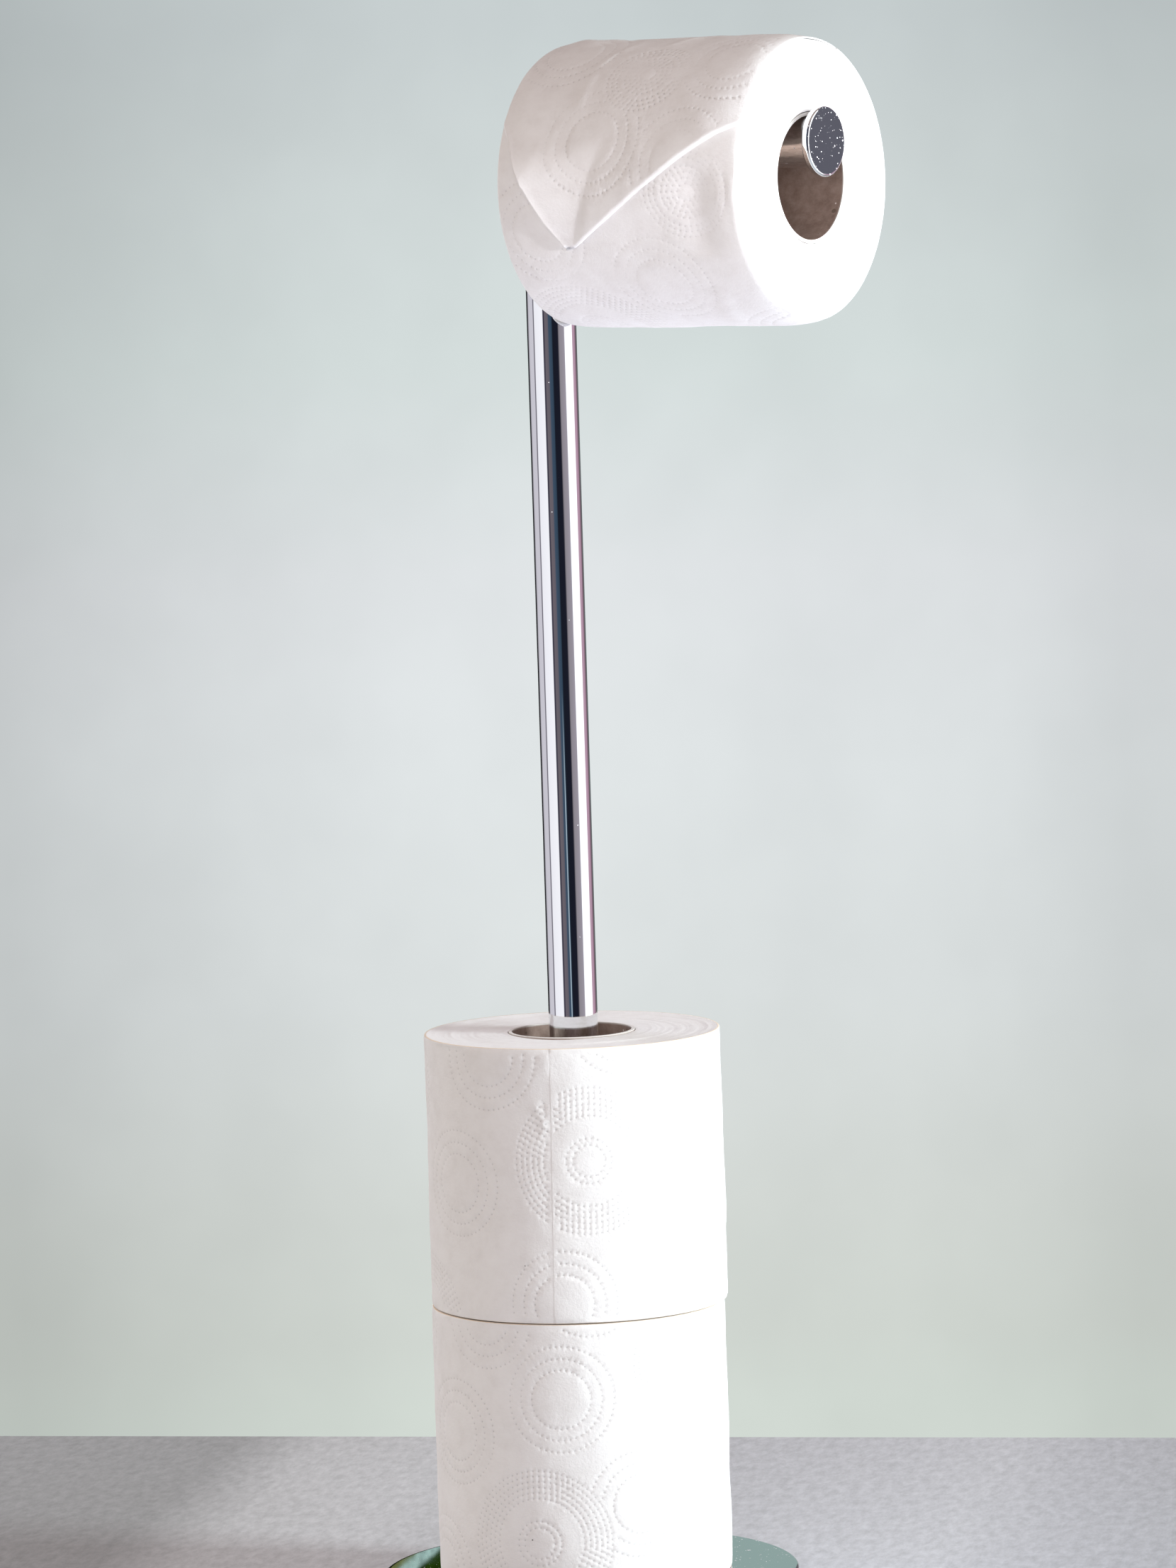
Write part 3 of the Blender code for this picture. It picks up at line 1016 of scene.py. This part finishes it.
def sheet_marks(name, length, end_angle, direction, radius, drop=0.0):
    """A paper's medallions and creases, as places on its flat sheet that starts at a level."""
    def along(angle):
        return direction * (radians(angle) - end_angle) % tau * radius

    seen = [(along(angle), level, kind) for angle, level, kind in seen_medallions[name]]
    middles = [
        (place, level - drop, kind)
        for place, level, kind in medallions(length, radius * tau, seen)
    ]
    creases = [
        ((along(angle), level - drop), (along(far_angle), far_level - drop), width, height)
        for (angle, level), (far_angle, far_level), width, height in roll_creases[name]
    ]
    return middles, creases


def spaced(points, distance, others=None):
    """The points that lie at least that far from the others, or from each earlier one."""
    def cell_of(point):
        return int(point[0] // distance), int(point[1] // distance)

    grid = {}
    for other in others or ():
        grid.setdefault(cell_of(other), []).append(other)
    kept = []
    for point in points:
        column, row = cell_of(point)
        near = (
            other
            for i in (-1, 0, 1)
            for j in (-1, 0, 1)
            for other in grid.get((column + i, row + j), ())
        )
        if all(dist(point, other) >= distance for other in near):
            kept.append(point)
            if others is None:
                grid.setdefault((column, row), []).append(point)
    return kept


def everywhere(along, across):
    return True


def paper_dots(length, height, middles, inside=everywhere):
    """Every dot of a sheet of that length and height that lies clear of its edges."""
    found = []
    closed = [spot for spot in middles if spot[2] != RINGS]
    for along, across, kind in middles:
        for k, radius in enumerate(medallion_radii[kind]):
            count = round(tau * radius / dot_pitch)
            dots = circle(radius, count, (along, across), 0.5 * (k % 2))
            found += [
                dot for dot in dots
                if kind != RINGS or all(
                    dist(dot, spot[:2]) > medallion_radii[spot[2]][-1] + dot_pitch / 2
                    for spot in closed
                )
            ]
    return [
        dot for dot in spaced(found, dot_spacing)
        if dot_clearance < dot[0] < length - dot_clearance
        and dot_clearance < dot[1] < height - dot_clearance
        and inside(*dot)
    ]


def worn(flat, depth, press, seed):
    """The depths, less where the embossing has worn away."""
    mean, swing = press

    def left(along, across):
        spot = Vector((along / wear_size, across / wear_size, seed + wear_shift))
        return min(1, max(least_press, mean + swing * noise.noise(spot)))

    return [value and value * left(*spot) for spot, value in zip(flat, depth)]


def triangulated(points, outline=0):
    """Triangles between flat points, inside the outline that the first so many make, if any."""
    loops = [list(range(outline))] if outline else []
    plan = [Vector(point) for point in points]
    result = delaunay_2d_cdt(plan, [], loops, len(loops), 1e-7, False)
    return [tuple(face) for face in result[2]]


def sheet_points(length, height, dots, outline, inside=everywhere):
    """Outline, dot and background points of a flat sheet, and how deep each is pressed."""
    rims = [point for dot in dots for point in circle(dot_radius, dot_sides, dot, 0.5)]
    rows = int(height / (cell * sqrt(0.75)))
    columns = int(length / cell)
    grid = [
        ((column + 0.5 + 0.5 * (row % 2)) * length / (columns + 1), row * height / rows)
        for row in range(1, rows)
        for column in range(columns)
    ]
    grid = spaced([point for point in grid if inside(*point)], dot_clearance, dots)
    depth = [0.0] * len(outline) + [1.0] * len(dots) + [0.0] * len(rims + grid)
    return outline + dots + rims + grid, depth


def softness(radius, angle, level, seed):
    """The paper's waves and puckers at a place of a roll's side, in metres."""
    place = Vector(polar(radius, angle, level))
    shift = Vector((seed, 0, seed))
    return sum(height * noise.noise(place / size + shift) for size, height in soft_waves)


def lifted(flat, middles, creases):
    """How far the medallions' puffed middles and the soft creases lift each flat point."""
    x, y = np.array(flat).T
    rise = np.zeros(len(flat))
    for along, across, kind in middles:
        off = np.hypot(x - along, y - across)
        rise += crown_height * np.clip(1 - (off / crown_radii[kind]) ** 2, 0, None) ** 0.5
    for (along, across), (end_x, end_y), width, height in creases:
        run, climb = end_x - along, end_y - across
        share = ((x - along) * run + (y - across) * climb) / hypot(run, climb) ** 2
        held = np.clip(share, 0, 1)
        off = np.hypot(x - along - held * run, y - across - held * climb)
        fade = np.clip(4 * np.minimum(held, 1 - held), 0.0, 1) ** 0.5
        rise += height * fade * np.exp(-((off / width) ** 2))
    return rise


def clamped(value):
    return min(1.0, max(0.0, value))


def smooth_step(value, run):
    share = clamped(value / run)
    return share * share * (3 - 2 * share)


def rim_drop(distance, edge):
    """How far a roll's side is rounded in at that distance from its end."""
    run, drop, wide, fall = edge
    share, slope = 1 - clamped(distance / run), 1 - clamped(distance / wide)
    return drop * (1 - sqrt(1 - share * share)) + fall * slope * slope


def from_line(point, line):
    """How far a point lies off a line, positive to the left of the line's direction."""
    (x, y), (end_x, end_y) = line
    run, rise = end_x - x, end_y - y
    return ((point[0] - x) * -rise + (point[1] - y) * run) / hypot(run, rise)


def tent(along, level):
    """The ridge that the last sheet's right fold makes, at a flat place of that sheet."""
    (x, y), (end_x, end_y) = right_fold
    run, rise = end_x - x, end_y - y
    share = ((along - x) * run + (level - y) * rise) / (run * run + rise * rise)
    if share > tent_end:
        return 0.0
    off = from_line((along, level), right_fold)
    width = tent_outside if off > 0 else tent_inside
    height = smooth_step(share + tent_lead, tent_rise)
    height *= 1 - tent_fallen * smooth_step(share - tent_top, tent_fall)
    return tent_height * height * exp(-((off / width) ** 2))


def arm_swell(angle, level):
    """How far the roll in use stands out from round: it sags, and its right end slumps."""
    swell = arm_sag * (1 + cos(angle)) / 2
    for middle, half, run, drop in arm_slumps:
        off = (degrees(angle) - middle + 180) % 360 - 180
        share = 1 - clamped((sheet_width + arm_overhang[1] - level) / run)
        swell -= drop * exp(-((off / half) ** 2)) * share * share
    along = (angle - perforation_angle) % tau * arm_roll_radius
    return swell + tent(along, level)


def layered(size, angle, seed, share=1.0):
    """How far an end lies below its highest place: its plies, and soft waves."""
    x, y = polar(1, angle)
    deep = 0.0
    for grain, spin, depth in end_plies:
        ply = noise.noise(Vector((size / grain, x * spin + seed, y * spin)))
        deep += depth * (1 + ply)
    wave = noise.noise(Vector((size * x / end_wave_size, size * y / end_wave_size, seed)))
    deep += end_wave_depth * (1 + wave)
    return deep * (rim_layer_share + (1 - rim_layer_share) * share)


def press_marks(item, depth, rims=()):
    """Keeps how deep each point is pressed, for the painted shade in the dots; -1 on rims that get
    painted warm shade.
    """
    marks = item.data.attributes.new("pressed", "FLOAT", "POINT")
    values = np.zeros(len(item.data.vertices), dtype=np.float32)
    values[:len(depth)] = depth
    values[list(rims)] = -1
    marks.data.foreach_set("value", values)


def winding(name, material, radius, end_angle, direction, step, gap, edge, overhang, press,
            seed, slant=0.0, sags=False, paints_rim_shade=False):
    """A wound roll: a spiral outer ply with embossed dots, and layered ends with a bore.

    direction is 1 where the outer ply runs on from its loose end with rising angle, or -1.
    """
    around = radius * tau
    length = around - gap
    low, high = -overhang[0], sheet_width + overhang[1]
    start_level = low + side_margin
    height = high - low - 2 * side_margin
    rows = int(height / row_height)
    lengthwise = [length * k / rim_points for k in range(rim_points + 1)]
    crosswise = [height * k / rows for k in range(1, rows)]
    outline = [(along, across) for across in (0.0, height) for along in lengthwise]
    outline += [(along, across) for along in (0.0, length) for across in crosswise]
    middles, creases = sheet_marks(name, around, end_angle, direction, radius, start_level)
    dots = paper_dots(length, height, middles)
    flat, depth = sheet_points(length, height, dots, outline)
    flat += [
        (along, across)
        for inset in end_insets
        for across in crosswise
        for along in (inset, length - inset)
    ]
    depth += [0.0] * (len(flat) - len(depth))
    depth = worn(flat, depth, press, seed)
    faces = triangulated(flat)

    def wound(along, inset, level):
        """Radius less an inset and angle of a point of the outer ply, at a level."""
        angle = end_angle + direction * along / radius + slant * (level / sheet_width - 0.5)
        size = radius - step * along / around - inset
        return size + (arm_swell(angle, level) if sags else 0.0), angle

    points = []
    for (along, across), pressed, lift in zip(flat, depth, lifted(flat, middles, creases)):
        level = across + start_level
        drop = rim_drop(min(level - low, high - level), edge)
        soft = softness(radius, end_angle + direction * along / radius, level, seed)
        inset = drop + dot_depth * pressed - lift - soft
        points.append(polar(*wound(along, inset, level), level))

    def ring(inset, depth, flip, shape):
        """One more ring of an end, as its points' numbers; shape gives its radius and depth."""
        first = len(points)
        for along in lengthwise:
            size, angle = wound(along, inset, flip(depth))
            size, deep = shape(size, angle)
            points.append(polar(size, angle, flip(deep)))
        return range(first, len(points))

    def end_loops(first, flip):
        """The rings of one end from its outline to the bore; flip makes a depth a level."""
        loops = [first]
        for near in rim_shares:
            distance = side_margin * near

            def sunk(size, angle):
                return size, distance + (1 - near) * layered(size, angle, seed, 0)

            loops.append(ring(rim_drop(distance, edge), sunk(0, 0)[1], flip, sunk))
            # The outermost rim rings get the painted warm shade
            if paints_rim_shade and near < rim_painted_shade_share:
                rim_painted_shade_rings.extend(loops[-1])
        plain = radius - rim_drop(0, edge)
        for k in range(1, end_rings + 1):
            spread = (plain - paper_bore_radius - step) * k / end_rings

            def inwards(size, angle):
                size = plain - spread + (size - plain) * (1 - k / end_rings)
                return size, layered(size, angle, seed, clamped(spread / layer_run))

            loops.append(ring(rim_drop(0, edge), 0, flip, inwards))

        def to_bore(size, angle):
            return paper_bore_radius, layered(paper_bore_radius, angle, seed)

        return [*loops, ring(0, 0, flip, to_bore)]

    rim_painted_shade_rings = []
    count = rim_points + 1
    below = end_loops(range(count), lambda depth: low + depth)
    above = end_loops(range(count, 2 * count), lambda depth: high - depth)
    faces += skin(below) + skin(above) + skin([below[-1], above[-1]])
    start_side, end_side = 2 * count, 2 * count + rows - 1
    faces += strip(
        [0, *range(start_side, end_side), count],
        [count - 1, *range(end_side, end_side + rows - 1), 2 * count - 1],
    )
    roll = mesh_object(name + "_winding", points, faces, material, roll_edge)
    press_marks(roll, depth, rim_painted_shade_rings)
    return roll


def between(start, end, count):
    """Evenly spaced points from one to the other, without the last."""
    (x, y), (end_x, end_y) = start, end
    return [(x + (end_x - x) * k / count, y + (end_y - y) * k / count) for k in range(count)]


def bead(off, shape):
    height, middle, width = shape
    return height * exp(-(((off - middle) / width) ** 2))


def proud(along, across):
    """How far the last sheet stands off the roll's own paper, its thickness with it."""
    off_left = max(0.0, from_line((along, across), left_fold))
    off_right = max(0.0, -from_line((along, across), right_fold))
    off_crease = from_line((along, across), crease)
    raised = smooth_step(along - shoulder + fold_lead, fold_run) * (
        left_fold_height * exp(-off_left / left_fold_fade)
        + right_fold_height * exp(-off_right / right_fold_fade)
        + bead(off_left, fold_bead)
    )
    reach = crease_reach_left if off_crease > 0 else crease_reach_right
    facet = clamped(-off_crease / facet_width) * smooth_step(last_sheet_length - along, facet_run)
    raised += smooth_step(along - crease_top + crease_lead, crease_run) * (
        facet_rise * facet
        + bead(off_crease, crease_bead)
        - crease_depth * exp(-abs(off_crease) / reach)
    )
    body = last_sheet_thickness + max(0.0, raised)
    if along > shoulder - fold_edge_lead:
        share = clamped(min(off_left, off_right) / fold_edge_width)
        body *= fold_edge_share + (1 - fold_edge_share) * sqrt(1 - (1 - share) ** 2)
    return body


def make_last_sheet(material):
    """The sheet over the roll in use: flat plan first, then laid round the roll.

    Its corners are folded behind it, which leaves rounded edges that stand proud, and a crease
    where the fold behind ends.
    """
    start = ply_run + seat_gap
    length = last_sheet_length
    notch = (length - notch_depth, (left_fold[1][1] + right_fold[1][1]) / 2 - notch_shift)
    corners = (
        ((start, sheet_low), side_points),
        (left_fold[0], left_points),
        (left_fold[1], tip_points),
        (notch, notch_points),
        (right_fold[1], right_points),
        (right_fold[0], side_points),
        ((start, sheet_high), end_points),
    )
    outline = []
    for (corner, count), (after, _) in zip(corners, corners[1:] + corners[:1]):
        outline += between(corner, after, count)

    def inside(margin):
        """A test for flat points that lie that far inside the edges and the folds."""
        return lambda along, across: (
            start + margin < along < length - tip_margin
            and sheet_low + margin < across < sheet_high - margin
            and from_line((along, across), left_fold) > margin
            and -from_line((along, across), right_fold) > margin
        )

    beside = []
    for line, side, count in ((left_fold, 1, left_points), (right_fold, -1, right_points)):
        run, climb = line[1][0] - line[0][0], line[1][1] - line[0][1]
        size = hypot(run, climb)
        inwards = (-climb / size * side, run / size * side)
        for distance in fold_steps:
            for along, across in between(*line, count):
                point = (along + inwards[0] * distance, across + inwards[1] * distance)
                if inside(fold_steps[0] / 2)(*point):
                    beside.append(point)
    for edge, way in ((sheet_low, 1), (sheet_high, -1)):
        for distance in side_steps:
            level = edge + way * distance
            beside += between((start, level), (shoulder, level), side_points)[1:]
    middles, creases = sheet_marks("arm_roll_sheet", length, perforation_angle, 1, arm_roll_radius)
    dots = paper_dots(length, sheet_width, middles, inside(dot_margin))
    flat, depth = sheet_points(length, sheet_width, dots, outline, inside(grid_margin))
    flat += spaced(beside, dot_clearance, dots)
    depth += [0.0] * (len(flat) - len(depth))
    depth = worn(flat, depth, arm_press, arm_seed)

    def place(along, across, lift):
        """A flat point laid round the roll, lifted off the roll's own paper."""
        angle = perforation_angle + along / arm_roll_radius
        turned_back = 1 - along / (arm_roll_radius * tau)
        distance = min(across + arm_overhang[0], sheet_width + arm_overhang[1] - across)
        size = arm_roll_radius - arm_winding_step * turned_back + seat_gap + lift
        size += arm_swell(angle, across) - rim_drop(distance, arm_edge)
        size += softness(arm_roll_radius, angle, across, arm_seed)
        return polar(size, angle, across)

    points = [
        place(*spot, proud(*spot) + lift - dot_depth * pressed)
        for spot, pressed, lift in zip(flat, depth, lifted(flat, middles, creases))
    ]
    grid = [
        (column * length / under_columns, row * sheet_width / under_rows)
        for row in range(1, under_rows)
        for column in range(1, under_columns)
    ]
    under = outline + [spot for spot in grid if inside(under_margin)(*spot)]
    first, count = len(points), len(outline)
    points += [place(*spot, 0) for spot in under]
    faces = triangulated(flat, count)
    faces += [tuple(first + k for k in face) for face in triangulated(under, count)]
    faces += skin([range(count), range(first, first + count)])
    sheet = mesh_object("arm_roll_sheet", points, faces, material, sheet_edge)
    press_marks(sheet, depth)
    sheet.matrix_world = roll_place("arm_roll")
    dress(sheet, "arm_roll", "arm_roll_last_sheet")


def roll_place(name):
    """The matrix that carries a roll from about its own axis to its place."""
    low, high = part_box(name + "_core")
    middle = (low + high) / 2
    if name == "arm_roll":
        return Matrix.Translation((low.x, 0, middle.z)) @ Matrix.Rotation(pi / 2, 4, "Y")
    return Matrix.Translation((middle.x, middle.y, low.z))


def make_rolls(paper_material, card_material):
    outer = core_inner_radius + core_wall
    profile = [(outer, 0), (outer, sheet_width)] + [
        (core_inner_radius, sheet_width * (1 - k / core_rings)) for k in range(core_rings + 1)
    ]
    for name, looks in rolls.items():
        roll = winding(name, paper_material, **looks)
        roll.matrix_world = roll_place(name)
        dress(roll, name, name + "_paper")
        core = turned(name + "_tube", profile, core_sides, card_material)
        core.matrix_world = roll_place(name)
        dress(core, name, name + "_core")
    make_last_sheet(paper_material)


def build():
    bpy.context.scene.view_settings.view_transform = "Standard"
    make_camera()
    make_floor()
    make_wall()
    make_surround()
    make_lights()
    polished = chrome("chrome_tube", tube_dust)
    make_post(polished)
    make_arm(polished)
    make_end_disc(chrome("chrome_disc", disc_dust))
    make_base(chrome("chrome_base", base_dust))
    finish_hidden_nodes()
    make_rolls(paper("tissue"), card("cardboard"))


build()
